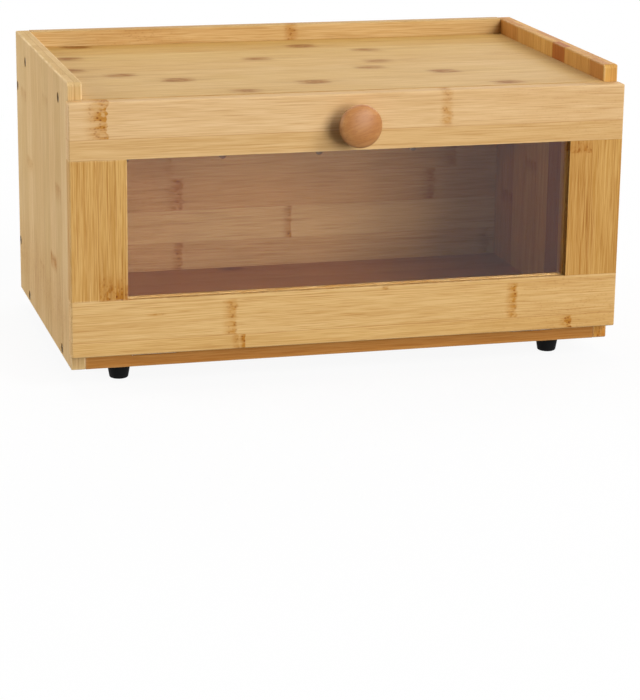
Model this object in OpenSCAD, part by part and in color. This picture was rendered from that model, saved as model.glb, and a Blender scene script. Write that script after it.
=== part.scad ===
// Bamboo bread box with a drop-down front door.
// Two side panels carry a top board, a bottom board and a back panel. The side and back
// panels stand a little above the top board, which leaves a tray with a raised rim.
// A framed door with a clear window hangs on two small butt hinges at its lower edge,
// and two magnets hold it shut.
// The origin is on the worktop, under the middle of the whole box with its knob.
// +X is to the right, +Y to the back and +Z up.

/* [Cabinet] */
// Outside width over the two side panels
box_w = 385; // [340:1:440]
// Depth of the side panels
box_d = 228.5; // [190:0.5:280]
// Height of the side panels, without the feet
box_h = 196; // [175:1:240]
// Thickness of every board of the cabinet
board_t = 10; // [9:0.5:14]
// Height of the rim that stands above the top board
rim_h = 11.5; // [6:0.5:20]
// Radius of the side panels' upper corners
panel_corner_r = 3; // [1:0.5:6]

/* [Air holes] */
// Diameter of the holes through the back panel
air_hole_d = 5.5; // [3:0.1:10]
// Distance from one hole to the next
air_hole_pitch = 75.8; // [40:0.1:90]
// Number of holes in the row
air_holes = 4; // [2:1:4]
// Height of the row above the underside of the back panel
air_hole_up = 97.7; // [40:0.1:150]

/* [Feet] */
// Height of a rubber foot
foot_h = 13; // [8:0.5:16]
// Diameter of a foot where it meets the bottom board
foot_top_d = 17.2; // [14:0.1:24]
// Diameter of a foot at the worktop
foot_end_d = 13.2; // [11:0.1:20]
// Distance from a side panel's outer face to a foot's centre
foot_in_x = 36.5; // [28:0.5:60]
// Distance from the front or back edge to a foot's centre
foot_in_y = 22; // [12:0.5:40]

/* [Door] */
// How far the door reaches past each side panel
door_over = 1.3; // [0:0.1:3]
// Height of the door
door_h = 172.7; // [150:0.1:175]
// Thickness of the door frame
door_t = 11; // [9:0.5:16]
// Height of the door's lower edge above the underside of the side panels
door_lift = 11.5; // [11:0.1:14]
// Width of the rails and stiles
frame_w = 38.5; // [34:0.5:50]
// Thickness of the clear pane
pane_t = 2; // [1.5:0.1:4]
// Depth of the groove that holds the pane
groove_depth = 6; // [4:0.5:7]
// Length of a dowel in a corner of the frame
dowel_l = 24; // [16:1:32]
// Diameter of a dowel
dowel_d = 5; // [3:0.5:6]

/* [Knob] */
// Largest diameter of the knob
knob_d = 29.5; // [22:0.5:36]
// Diameter of the knob's neck, where it meets the door
knob_neck_d = 16.2; // [12:0.1:20]
// Length of the knob from the door to its crown
knob_l = 22.5; // [18:0.5:26]
// Distance from the door to the knob's widest ring
knob_ring_out = 16; // [12:0.5:17]

/* [Hinges] */
// Distance from the middle of the box to the middle of a hinge
hinge_x = 135.5; // [100:0.5:140]
// Length of a hinge along its pin
hinge_l = 30; // [26:1:40]
// Length of the middle knuckle, which belongs to the door
middle_knuckle_l = 12; // [8:0.5:16]
// Outer diameter of the knuckles
barrel_d = 3.2; // [2.8:0.1:4]
// Diameter of the hinge pin
pin_d = 1.6; // [1.2:0.1:1.8]
// Thickness of a leaf
leaf_t = 0.9; // [0.6:0.1:1.1]
// Reach of a leaf from the pin's axis
leaf_l = 12.5; // [10:0.5:14]
// Distance of the pin's axis behind the front edges of the side panels
axis_in = 1; // [0.8:0.1:1.2]
// Distance of the pin's axis below the upper face of the bottom board
axis_drop = 0.6; // [0.4:0.1:0.8]

/* [Magnets] */
// Diameter of a magnet and of its steel striker
magnet_d = 5; // [4:0.5:6]
// Length of a magnet
magnet_l = 4; // [2:0.5:8]
// Thickness of a striker
striker_t = 2; // [1:0.5:2.5]
// Height of the magnets above the underside of the side panels
magnet_up = 136.3; // [60:0.1:145]

/* [Screws] */
// Distance from the front edge to the foremost screws of the boards
screw_in_front = 38; // [25:0.5:60]
// Distance from the back edge to the rearmost screws of the boards
screw_in_back = 44.5; // [30:0.5:70]
// Height of the lower screws of the back panel
back_screw_low = 38; // [20:0.5:60]
// Height of the upper screws of the back panel
back_screw_high = 155.5; // [120:0.5:165]

/* [Hidden] */
$fn = 64;

// Gaps, past an exact touch
running_gap = 0.05;
seat_gap = 0.05;
knuckle_gap = 0.3;
cut = 1;

// Heights
under_z = foot_h;
floor_z = under_z + board_t;
tray_z = under_z + box_h - rim_h;
rim_z = under_z + box_h;
axis_z = floor_z - axis_drop;

// Depths, worked out so that the whole box with its knob is centred
door_gap = barrel_d / 2 - axis_in;
whole_d = box_d + door_gap + door_t + knob_l;
front_y = knob_l + door_t + door_gap - whole_d / 2;
back_y = front_y + box_d;
back_in_y = back_y - board_t;
axis_y = front_y + axis_in;
door_in_y = front_y - door_gap;
door_out_y = door_in_y - door_t;
door_mid_y = (door_in_y + door_out_y) / 2;

// Widths
half_w = box_w / 2;
inner_x = half_w - board_t;
door_half_w = half_w + door_over;
window_half_w = door_half_w - frame_w;

// Heights of the door
door_z0 = under_z + door_lift;
door_z1 = door_z0 + door_h;
window_z0 = door_z0 + frame_w;
window_z1 = door_z1 - frame_w;
knob_z = door_z1 - frame_w / 2;

// The recess that takes a hinge in the bottom board
barrel_r = barrel_d / 2;
recess_l = hinge_l + 1.5;
recess_d = axis_in + leaf_l + 1.5;
leaf_start = barrel_r + knuckle_gap;

// Screws: shank, head and length
board_screw = [3.5, 7, 28];
hinge_screw = [1.8, 3.4, 7.5];
foot_screw = [3, 5.6, 14];
knob_screw_size = [3.5, 5.6, 24];
hinge_screw_x = 9;
hinge_screw_out = 7;
foot_well_d = 7;
foot_well_h = 6.5;
knob_screw_sunk = 0.8;
board_screw_sunk = 0.5;

// Places of the six screws in a side panel: distance from the front edge, and height
side_screw_places = [
    [screw_in_front, box_h - rim_h - board_t / 2],
    [box_d - screw_in_back, box_h - rim_h - board_t / 2],
    [screw_in_front, board_t / 2],
    [box_d - screw_in_back, board_t / 2],
    [box_d - board_t / 2, back_screw_low],
    [box_d - board_t / 2, back_screw_high]
];

bamboo_front = [0.86, 0.71, 0.49];
bamboo_side = [0.80, 0.66, 0.48];
bamboo_inside = [0.74, 0.52, 0.31];
bamboo_stile = [0.80, 0.61, 0.36];
knob_wood = [0.72, 0.46, 0.26];
steel = [0.72, 0.72, 0.72];
dark_steel = [0.35, 0.34, 0.33];
foot_rubber = [0.07, 0.07, 0.07];

// ---- Screws ----

// A countersunk screw whose head faces +Z, with the head's face at the origin
module screw_outline(size, gap = 0) {
    shank_r = size[0] / 2;
    head_r = size[1] / 2;
    tip = size[2] + gap;
    rotate_extrude()
        polygon([
            [0, 0],
            [head_r + gap, 0],
            [head_r + gap, -0.2],
            [shank_r + gap, shank_r - head_r - 0.2],
            [shank_r + gap, shank_r - tip],
            [0, -tip]
        ]);
}

module screw(size) {
    slot_w = size[1] * 0.15;
    slot_l = size[1] * 0.6;
    slot_depth = size[1] * 0.18;
    difference() {
        screw_outline(size);
        for (turn = [0, 90])
            rotate([0, 0, turn])
                translate([-slot_l / 2, -slot_w / 2, -slot_depth])
                    cube([slot_l, slot_w, slot_depth + cut]);
    }
}

// The room a screw needs, open at its head
module screw_room(size) {
    screw_outline(size, seat_gap);
    cylinder(r = size[1] / 2 + seat_gap, h = cut);
}

// Puts its child at each screw of one side panel; side is -1 on the left and 1 on the right
module at_side_screws(side) {
    for (place = side_screw_places)
        translate([side * (half_w - board_screw_sunk), front_y + place[0], under_z + place[1]])
            rotate([0, side * 90, 0])
                children();
}

module side_screw_rooms() {
    for (side = [-1, 1])
        at_side_screws(side)
            screw_room(board_screw);
}

module side_screws(side) {
    color(steel)
        at_side_screws(side)
            screw(board_screw);
}

// Puts its child at the two screw holes of each hinge leaf
module at_hinge_floor_screws() {
    for (hinge = [-hinge_x, hinge_x], across = [-hinge_screw_x, hinge_screw_x])
        translate([hinge + across, axis_y + hinge_screw_out, axis_z - barrel_r + leaf_t])
            children();
}

module at_hinge_door_screws() {
    for (hinge = [-hinge_x, hinge_x], across = [-hinge_screw_x, hinge_screw_x])
        translate([hinge + across, door_in_y + leaf_t, axis_z + hinge_screw_out])
            rotate([-90, 0, 0])
                children();
}

// ---- Cabinet ----

module panel_outline() {
    r = panel_corner_r;
    square([box_d, box_h - r]);
    translate([r, 0])
        square([box_d - 2 * r, box_h]);
    for (y = [r, box_d - r])
        translate([y, box_h - r])
            circle(r);
}

module side_panel(side) {
    color(bamboo_side)
        difference() {
            translate([side < 0 ? -half_w : inner_x, front_y, under_z])
                rotate([90, 0, 90])
                    linear_extrude(board_t)
                        panel_outline();
            side_screw_rooms();
            translate([side * (half_w - board_t / 2), front_y - cut, under_z + magnet_up])
                rotate([-90, 0, 0])
                    cylinder(d = magnet_d + 2 * seat_gap, h = magnet_l + seat_gap + cut);
        }
}

module back_panel() {
    color(bamboo_inside)
        difference() {
            translate([-inner_x, back_in_y, under_z])
                cube([2 * inner_x, board_t, box_h]);
            for (i = [0 : air_holes - 1]) {
                hole_x = (i - (air_holes - 1) / 2) * air_hole_pitch;
                translate([hole_x, back_in_y - cut, under_z + air_hole_up])
                    rotate([-90, 0, 0])
                        cylinder(d = air_hole_d, h = board_t + 2 * cut);
            }
            side_screw_rooms();
        }
}

module top_board() {
    color(bamboo_front)
        difference() {
            translate([-inner_x, front_y, tray_z - board_t])
                cube([2 * inner_x, box_d - board_t, board_t]);
            side_screw_rooms();
        }
}

module bottom_board() {
    color(bamboo_inside)
        difference() {
            translate([-inner_x, front_y, under_z])
                cube([2 * inner_x, box_d - board_t, board_t]);
            for (hinge = [-hinge_x, hinge_x])
                translate([hinge - recess_l / 2, front_y - cut, axis_z - barrel_r])
                    cube([recess_l, recess_d + cut, board_t]);
            at_hinge_floor_screws()
                screw_room(hinge_screw);
            at_foot_screws()
                screw_room(foot_screw);
            side_screw_rooms();
        }
}

// ---- Feet ----

// Puts its child on the worktop under one foot; side and end are -1 or 1
module at_foot(side, end) {
    middle_y = front_y + box_d / 2;
    translate([side * (half_w - foot_in_x), middle_y + end * (box_d / 2 - foot_in_y), 0])
        children();
}

module at_foot_screws() {
    for (side = [-1, 1], end = [-1, 1])
        at_foot(side, end)
            translate([0, 0, foot_well_h])
                rotate([180, 0, 0])
                    children();
}

module foot(side, end) {
    edge_r = 1;
    end_r = foot_end_d / 2;
    color(foot_rubber)
        at_foot(side, end)
            difference() {
                rotate_extrude()
                    polygon([
                        [0, 0],
                        [end_r - edge_r, 0],
                        for (turn = [15 : 15 : 75])
                            [end_r - edge_r + edge_r * sin(turn), edge_r - edge_r * cos(turn)],
                        [end_r, edge_r],
                        [foot_top_d / 2, foot_h],
                        [0, foot_h]
                    ]);
                translate([0, 0, -cut])
                    cylinder(d = foot_well_d, h = foot_well_h + cut);
                translate([0, 0, foot_well_h])
                    rotate([180, 0, 0])
                        screw_room(foot_screw);
            }
}

module foot_screws() {
    color(steel)
        at_foot_screws()
            screw(foot_screw);
}

// ---- Magnets and strikers ----

module magnet(side) {
    color(dark_steel)
        translate([side * (half_w - board_t / 2), front_y, under_z + magnet_up])
            rotate([-90, 0, 0])
                cylinder(d = magnet_d, h = magnet_l);
}

module striker(side) {
    color(dark_steel)
        at_striker(side)
            cylinder(d = magnet_d, h = striker_t);
}

// The seat of a striker, on the door's inner face; +Z there goes into the door
module at_striker(side) {
    translate([side * (half_w - board_t / 2), door_in_y, under_z + magnet_up])
        rotate([90, 0, 0])
            children();
}

// ---- Hinges ----

// A length of knuckle between two places along the pin
module knuckle(from_x, to_x) {
    translate([from_x, 0, 0])
        rotate([0, 90, 0])
            cylinder(d = barrel_d, h = to_x - from_x);
}

module pin_bore(gap) {
    translate([-hinge_l / 2 - cut, 0, 0])
        rotate([0, 90, 0])
            cylinder(d = pin_d + 2 * gap, h = hinge_l + 2 * cut);
}

module at_hinge(side) {
    translate([side * hinge_x, axis_y, axis_z])
        children();
}

// The leaf in the bottom board's recess, with the two outer knuckles
module hinge_floor_leaf(side) {
    outer_from = middle_knuckle_l / 2 + knuckle_gap;
    outer_l = hinge_l / 2 - outer_from;
    color(steel)
        difference() {
            at_hinge(side)
                difference() {
                    union() {
                        translate([-hinge_l / 2, leaf_start, -barrel_r])
                            cube([hinge_l, leaf_l - leaf_start, leaf_t]);
                        for (from_x = [-hinge_l / 2, outer_from]) {
                            knuckle(from_x, from_x + outer_l);
                            translate([from_x, 0, -barrel_r])
                                cube([outer_l, leaf_l, leaf_t]);
                        }
                    }
                    pin_bore(seat_gap);
                }
            at_hinge_floor_screws()
                screw_room(hinge_screw);
        }
}

// The leaf on the door's inner face, with the middle knuckle
module hinge_door_leaf(side) {
    color(steel)
        difference() {
            at_hinge(side)
                difference() {
                    union() {
                        translate([-hinge_l / 2, -barrel_r, leaf_start])
                            cube([hinge_l, leaf_t, leaf_l - leaf_start]);
                        knuckle(-middle_knuckle_l / 2, middle_knuckle_l / 2);
                        translate([-middle_knuckle_l / 2, -barrel_r, 0])
                            cube([middle_knuckle_l, leaf_t, leaf_l]);
                    }
                    pin_bore(running_gap);
                }
            at_hinge_door_screws()
                screw_room(hinge_screw);
        }
}

module hinge_pin(side) {
    color(steel)
        at_hinge(side)
            translate([-hinge_l / 2, 0, 0])
                rotate([0, 90, 0])
                    cylinder(d = pin_d, h = hinge_l);
}

module hinge_floor_screws() {
    color(steel)
        at_hinge_floor_screws()
            screw(hinge_screw);
}

module hinge_door_screws() {
    color(steel)
        at_hinge_door_screws()
            screw(hinge_screw);
}

// ---- Door ----

// The room for the pane, let into the frame all round the window
module pane_room() {
    out = groove_depth;
    translate([-window_half_w - out, door_mid_y - pane_t / 2 - seat_gap, window_z0 - out])
        cube([2 * (window_half_w + out), pane_t + 2 * seat_gap, window_z1 - window_z0 + 2 * out]);
}

// Puts its child at the middle of each dowel, on the joints of rails and stiles
module at_dowels() {
    spread = frame_w / 2 - 11;
    middle_x = door_half_w - frame_w / 2;
    for (side = [-1, 1], across = [-spread, spread], joint_z = [window_z0, window_z1])
        translate([side * middle_x + across, door_mid_y, joint_z])
            children();
}

module dowel_rooms() {
    room_l = dowel_l + 2 * seat_gap;
    at_dowels()
        cylinder(d = dowel_d + 2 * seat_gap, h = room_l, center = true);
}

module rail(low_z) {
    translate([-door_half_w, door_out_y, low_z])
        cube([2 * door_half_w, door_t, frame_w]);
}

module at_knob_screw() {
    translate([0, door_in_y - knob_screw_sunk, knob_z])
        rotate([-90, 0, 0])
            children();
}

module door_top_rail() {
    color(bamboo_front)
        difference() {
            rail(window_z1);
            pane_room();
            dowel_rooms();
            at_knob_screw()
                screw_room(knob_screw_size);
        }
}

module door_bottom_rail() {
    color(bamboo_front)
        difference() {
            rail(door_z0);
            pane_room();
            dowel_rooms();
            at_hinge_door_screws()
                screw_room(hinge_screw);
        }
}

module door_stile(side) {
    color(bamboo_stile)
        difference() {
            translate([side < 0 ? -door_half_w : window_half_w, door_out_y, window_z0])
                cube([frame_w, door_t, window_z1 - window_z0]);
            pane_room();
            dowel_rooms();
            at_striker(side)
                translate([0, 0, -cut])
                    cylinder(d = magnet_d + 2 * seat_gap, h = striker_t + seat_gap + cut);
        }
}

module door_dowels() {
    color(bamboo_inside)
        at_dowels()
            cylinder(d = dowel_d, h = dowel_l, center = true);
}

module window_pane() {
    into = groove_depth - 1;
    color([0.8, 0.85, 0.88, 0.35])
        translate([-window_half_w - into, door_mid_y - pane_t / 2, window_z0 - into])
            cube([2 * (window_half_w + into), pane_t, window_z1 - window_z0 + 2 * into]);
}

// ---- Knob ----

// Radius of the turned neck at a height above the door: straight, then a bell that
// opens to the widest ring
function neck_radius(up) =
    let (bell_from = 0.38)
    let (share = max(0, up / knob_ring_out - bell_from) / (1 - bell_from))
    knob_neck_d / 2 + (knob_d - knob_neck_d) / 2 * (1 - cos(180 * share)) / 2;

module knob() {
    crown_h = knob_l - knob_ring_out;
    color(knob_wood)
        difference() {
            translate([0, door_out_y, knob_z])
                rotate([90, 0, 0])
                    rotate_extrude($fn = 96)
                        polygon([
                            [0, 0],
                            for (i = [0 : 20])
                                let (up = knob_ring_out * i / 20)
                                [neck_radius(up), up],
                            for (turn = [9 : 9 : 81])
                                [knob_d / 2 * cos(turn), knob_ring_out + crown_h * sin(turn)],
                            [0, knob_l]
                        ]);
            at_knob_screw()
                screw_room(knob_screw_size);
        }
}

module knob_screw() {
    color(steel)
        at_knob_screw()
            screw(knob_screw_size);
}

side_panel(-1);  // left_side_panel
side_panel(1);  // right_side_panel
back_panel();
top_board();
bottom_board();
side_screws(-1);  // left_side_screws
side_screws(1);  // right_side_screws
foot(-1, -1);  // front_left_foot
foot(1, -1);  // front_right_foot
foot(-1, 1);  // rear_left_foot
foot(1, 1);  // rear_right_foot
foot_screws();
magnet(-1);  // left_magnet
magnet(1);  // right_magnet
hinge_floor_leaf(-1);  // left_hinge_floor_leaf
hinge_floor_leaf(1);  // right_hinge_floor_leaf
hinge_pin(-1);  // left_hinge_pin
hinge_pin(1);  // right_hinge_pin
hinge_floor_screws();
door_top_rail();
door_bottom_rail();
door_stile(-1);  // door_left_stile
door_stile(1);  // door_right_stile
door_dowels();
window_pane();
knob();
knob_screw();
striker(-1);  // left_striker
striker(1);  // right_striker
hinge_door_leaf(-1);  // left_hinge_door_leaf
hinge_door_leaf(1);  // right_hinge_door_leaf
hinge_door_screws();
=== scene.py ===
"""A bamboo bread box with a drop-down front door: its boards, turned parts, hinges and
screws as detailed meshes, and the finish of every surface."""
import math

import bmesh
import bpy
from mathutils import Matrix, Vector


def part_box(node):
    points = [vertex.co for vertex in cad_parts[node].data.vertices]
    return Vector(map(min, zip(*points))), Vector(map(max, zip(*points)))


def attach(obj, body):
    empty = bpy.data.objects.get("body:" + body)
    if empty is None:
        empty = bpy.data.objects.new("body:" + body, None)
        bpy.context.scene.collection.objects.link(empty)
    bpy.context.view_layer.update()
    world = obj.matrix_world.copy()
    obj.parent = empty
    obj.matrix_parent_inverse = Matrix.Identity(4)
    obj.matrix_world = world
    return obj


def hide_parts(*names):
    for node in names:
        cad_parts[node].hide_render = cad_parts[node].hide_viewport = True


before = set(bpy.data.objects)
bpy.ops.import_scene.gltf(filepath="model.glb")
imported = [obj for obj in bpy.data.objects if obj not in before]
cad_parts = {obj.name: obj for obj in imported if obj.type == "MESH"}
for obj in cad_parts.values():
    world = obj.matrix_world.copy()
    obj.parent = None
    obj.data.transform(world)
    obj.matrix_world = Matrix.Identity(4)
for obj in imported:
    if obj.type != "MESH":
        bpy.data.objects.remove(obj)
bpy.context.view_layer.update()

MM = 0.001
Z_AXIS = Vector((0, 0, 1))


# ---- Sizes, in metres ----

panel_low, panel_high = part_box("right_side_panel")
floor_low, floor_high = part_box("bottom_board")
tray_low, tray_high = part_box("top_board")
top_rail_low, top_rail_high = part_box("door_top_rail")
stile_low, stile_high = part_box("door_right_stile")
pane_low, pane_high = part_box("window_pane")
knob_low, knob_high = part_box("knob")
magnet_low, magnet_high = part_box("right_magnet")
striker_low, striker_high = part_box("right_striker")
pin_low, pin_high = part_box("right_hinge_pin")

half_w = panel_high.x
board_t = panel_high.x - panel_low.x
front_y = panel_low.y
back_y = panel_high.y
under_z = panel_low.z
window_z0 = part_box("door_bottom_rail")[1].z
window_z1 = top_rail_low.z
door_in_y = top_rail_high.y
door_out_y = top_rail_low.y
door_mid_y = (door_in_y + door_out_y) / 2
stile_x = (stile_low.x + stile_high.x) / 2
knob_z = (knob_low.z + knob_high.z) / 2
hinge_x = (pin_low.x + pin_high.x) / 2
hinge_l = pin_high.x - pin_low.x
axis_y = (pin_low.y + pin_high.y) / 2
axis_z = (pin_low.z + pin_high.z) / 2

FEET = [end + side + "_foot" for end in ("front_", "rear_") for side in ("left", "right")]

SEAT_GAP = 0.05 * MM
EASED = 0.22 * MM
DOOR_EDGE_R = 1.1 * MM
DOWEL_R = 2.5 * MM
DOWEL_L = 24 * MM
DOWEL_ACROSS = 8.25 * MM
STRIP_W = 25.25 * MM

# Screws: shank and head diameter, and length
BOARD_SCREW = (3.5 * MM, 7.0 * MM, 28.0 * MM)
HINGE_SCREW = (1.8 * MM, 3.4 * MM, 7.5 * MM)
FOOT_SCREW = (3.0 * MM, 5.6 * MM, 14.0 * MM)
KNOB_SCREW = (3.5 * MM, 5.6 * MM, 24.0 * MM)
BOARD_SCREW_SUNK = 0.5 * MM
KNOB_SCREW_SUNK = 0.8 * MM
HEAD_RIM = 0.2 * MM
FOOT_WELL_H = 6.5 * MM

# The side panels' screws: in from the front and from the back, and up the back panel
SCREW_FROM_FRONT = 38 * MM
SCREW_FROM_BACK = 44.5 * MM
BACK_SCREWS_UP = (38 * MM, 155.5 * MM)

# The back panel's four air holes
HOLE_R = 2.75 * MM
HOLE_LIP = 0.35 * MM
HOLE_STEP = 75.8 * MM
HOLES_UP = 97.7 * MM

# Hinges
BARREL_R = 1.6 * MM
PIN_ROOM_R = 0.86 * MM
LEAF_T = 0.9 * MM
LEAF_REACH = 12.5 * MM
KNUCKLE_L = 12 * MM
KNUCKLE_GAP = 0.3 * MM
LEAF_FACE_DOWN = 0.7 * MM
HINGE_SCREW_OUT = 7 * MM
HINGE_SCREW_ACROSS = 9 * MM
SWAP_Y_AND_Z = Matrix(((1, 0, 0), (0, 0, 1), (0, 1, 0))).to_4x4()

# The photo's camera, from its fit: the place counts from the underside of the cabinet,
# and the turns are azimuth, elevation and roll, in degrees
CAMERA_SPOT = Vector((-454.89, -1694.43, 478.83)) * MM
CAMERA_TURNS = (15.2735, 16.0173, 0.7318)
LAMP_AIM = Vector((0, 0, 0.1))


# ---- Meshes ----

def new_piece(name, bm):
    """A new object of that name from a finished bmesh."""
    bmesh.ops.recalc_face_normals(bm, faces=bm.faces)
    mesh = bpy.data.meshes.new(name)
    bm.to_mesh(mesh)
    bm.free()
    piece = bpy.data.objects.new(name, mesh)
    bpy.context.scene.collection.objects.link(piece)
    return piece


def apply_modifiers(piece):
    """Makes the result of a piece's modifiers its own mesh."""
    graph = bpy.context.evaluated_depsgraph_get()
    made = bpy.data.meshes.new_from_object(piece.evaluated_get(graph))
    piece.modifiers.clear()
    piece.data = made
    return piece


def combine(piece, shape_bm, operation):
    """Takes the closed shapes of a bmesh out of a piece, or welds them onto it."""
    shape = new_piece(piece.name + "_shape", shape_bm)
    boolean = piece.modifiers.new("shape", "BOOLEAN")
    boolean.operation = operation
    boolean.solver = "EXACT"
    boolean.use_self = operation == "DIFFERENCE"
    boolean.object = shape
    apply_modifiers(piece)
    bpy.data.objects.remove(shape)
    return piece


def middle_of(name):
    """The middle of a CAD node's box."""
    low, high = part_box(name)
    return (low + high) / 2


def add_box(bm, low, high):
    made = bmesh.ops.create_cube(bm, size=1)["verts"]
    middle = (Vector(low) + Vector(high)) / 2
    size = Vector(high) - Vector(low)
    for vert in made:
        vert.co = Vector(a * b for a, b in zip(vert.co, size)) + middle
    return made


def add_turned(bm, profile, at=Matrix.Identity(4), steps=48):
    """Turns a profile of (radius, height) points about the Z axis of a matrix. A point on
    the axis closes the end with a fan."""
    rings = []
    for radius, height in profile:
        count = 1 if radius < 1e-7 else steps
        ring = []
        for i in range(count):
            turn = 2 * math.pi * i / count
            spot = Vector((radius * math.cos(turn), radius * math.sin(turn), height))
            ring.append(bm.verts.new(at @ spot))
        rings.append(ring)
    for first, second in zip(rings, rings[1:]):
        for i in range(steps):
            corners = [
                first[i % len(first)], first[(i + 1) % len(first)],
                second[(i + 1) % len(second)], second[i % len(second)],
            ]
            corners = list(dict.fromkeys(corners))
            if len(corners) > 2:
                bm.faces.new(corners)


def add_rod(bm, radius, start, end, steps=32):
    """A plain round rod between two points."""
    reach = Vector(end) - Vector(start)
    turn = Z_AXIS.rotation_difference(reach).to_matrix().to_4x4()
    profile = [(0, 0), (radius, 0), (radius, reach.length), (0, reach.length)]
    add_turned(bm, profile, Matrix.Translation(start) @ turn, steps)


def facing(point, direction):
    """The matrix that puts local +Z along a direction at a point."""
    turn = Z_AXIS.rotation_difference(Vector(direction)).to_matrix().to_4x4()
    return Matrix.Translation(point) @ turn


def rounded_box(name, low, high, radius_of, steps=3):
    """A box whose edges are rounded: radius_of gives each edge's radius from its middle,
    which has -1, 0 or 1 along each axis."""
    bm = bmesh.new()
    add_box(bm, low, high)
    middle = (Vector(low) + Vector(high)) / 2
    half = (Vector(high) - Vector(low)) / 2
    radii = []
    for edge in bm.edges:
        at = (edge.verts[0].co + edge.verts[1].co) / 2 - middle
        radii.append(radius_of(Vector(round(a / b) for a, b in zip(at, half))))
    largest = max(radii)
    weights = bm.edges.layers.float.new("bevel_weight_edge")
    for edge, radius in zip(bm.edges, radii):
        edge[weights] = radius / largest
    piece = new_piece(name, bm)
    bevel = piece.modifiers.new("round", "BEVEL")
    bevel.limit_method = "WEIGHT"
    bevel.width = largest
    bevel.segments = steps
    bevel.use_clamp_overlap = False
    return apply_modifiers(piece)


def shade_softly(piece, angle=35):
    """Smooth shading with flat faces kept flat and hard edges kept hard."""
    mesh = piece.data
    mesh.shade_smooth()
    mesh.set_sharp_from_angle(angle=math.radians(angle))
    weighted = piece.modifiers.new("flat faces", "WEIGHTED_NORMAL")
    weighted.keep_sharp = True
    return piece


def fit_piece(piece, node, body, material):
    """Gives a piece its material, soft shading and its body, and hides the CAD node it stands
    for.
    """
    piece.data.materials.clear()
    piece.data.materials.append(material)
    shade_softly(piece)
    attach(piece, body)
    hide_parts(node)
    return piece


def board(name, body, slot, material, radius_of, *cutters):
    """A board with rounded edges, with the shapes of each cutter taken out in turn."""
    piece = rounded_box(name, *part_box(name), radius_of)
    for cutter in cutters:
        combine(piece, cutter, "DIFFERENCE")
    return fit_piece(piece, name, body, material)


def eased_rod(radius, length, edge):
    """The outline of a round rod with chamfered ends."""
    return [
        (0, 0), (radius - edge, 0), (radius, edge),
        (radius, length - edge), (radius - edge, length), (0, length),
    ]


# ---- Node trees ----

def tone(red, green, blue):
    """A colour socket's value from the red, green and blue that a screen shows, 0 to 255."""
    def linear(level):
        share = level / 255
        return share / 12.92 if share <= 0.04045 else ((share + 0.055) / 1.055) ** 2.4
    return (linear(red), linear(green), linear(blue), 1.0)


def feed(node, inputs):
    """Sets a node's inputs by their names: from another node's socket, or plainly."""
    for key, value in inputs.items():
        if isinstance(value, bpy.types.NodeSocket):
            node.id_data.links.new(value, node.inputs[key])
        else:
            node.inputs[key].default_value = value


def place(tree, kind, inputs=None, **settings):
    """Adds a shader node of that kind, with its settings and inputs."""
    made = tree.nodes.new("ShaderNode" + kind)
    for name, value in settings.items():
        setattr(made, name, value)
    feed(made, inputs or {})
    return made


def fed(kind, inputs, **settings):
    """Adds a shader node to the tree of the sockets that feed it."""
    sockets = [value for value in inputs.values() if isinstance(value, bpy.types.NodeSocket)]
    return place(sockets[0].id_data, kind, inputs, **settings)


def blank(kind, name):
    """A new material or world with an empty node tree."""
    made = kind.new(name)
    made.use_nodes = True
    made.node_tree.nodes.clear()
    return made, made.node_tree


def maths(operation, first, second=0.0, third=0.0):
    inputs = {0: first, 1: second, 2: third}
    return fed("Math", inputs, operation=operation).outputs[0]


def times(first, second):
    return maths("MULTIPLY", first, second)


def times_plus(first, second, added):
    return maths("MULTIPLY_ADD", first, second, added)


def plus(first, second):
    return maths("ADD", first, second)


def minus(first, second):
    return maths("SUBTRACT", first, second)


def vector_maths(operation, first, second):
    inputs = {0: first, 1: second}
    return fed("VectorMath", inputs, operation=operation).outputs[0]


def ease(value, start, end, low=0.0, high=1.0):
    """A smooth step of a value between two places."""
    inputs = {0: value, 1: start, 2: end, 3: low, 4: high}
    return fed("MapRange", inputs, interpolation_type="SMOOTHSTEP").outputs[0]


def joined(x, y, z):
    return fed("CombineXYZ", {0: x, 1: y, 2: z}).outputs[0]


def noise(point, scale, detail=2.0, roughness=0.5):
    inputs = {"Vector": point, "Scale": scale, "Detail": detail, "Roughness": roughness}
    return fed("TexNoise", inputs).outputs[0]


def mixed(share, first, second, how="MIX"):
    inputs = {0: share, 6: first, 7: second}
    return fed("Mix", inputs, data_type="RGBA", blend_type=how).outputs[2]


def stretched(along, across, deep, along_scale, across_scale, shift):
    """A point whose first axis is squeezed, so that noise there runs in long fibres."""
    along, across = times(along, along_scale), times(across, across_scale)
    point = joined(along, across, times(deep, across_scale))
    return vector_maths("ADD", point, shift)


def node_group(name, inputs):
    """Makes a shader node group with named inputs out of a function, which gets those
    inputs and gives back the group's outputs by name."""
    kinds = {"VALUE": "NodeSocketFloat", "VECTOR": "NodeSocketVector"}

    def made_of(draw):
        group = bpy.data.node_groups.new(name, "ShaderNodeTree")
        face = group.interface
        for label, value in inputs.items():
            kind = kinds["VALUE" if isinstance(value, float) else "VECTOR"]
            socket = face.new_socket(name=label, in_out="INPUT", socket_type=kind)
            socket.default_value = value
        results = draw(group.nodes.new("NodeGroupInput").outputs)
        for label, value in results.items():
            face.new_socket(name=label, in_out="OUTPUT", socket_type=kinds[value.type])
        feed(group.nodes.new("NodeGroupOutput"), results)
        return group

    return made_of


def use(group, **inputs):
    """Places a group. An input's name has its spaces as underscores."""
    named = {key.replace("_", " "): value for key, value in inputs.items()}
    return fed("Group", named, node_tree=group).outputs


# ---- Effects shared by the finishes ----

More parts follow.
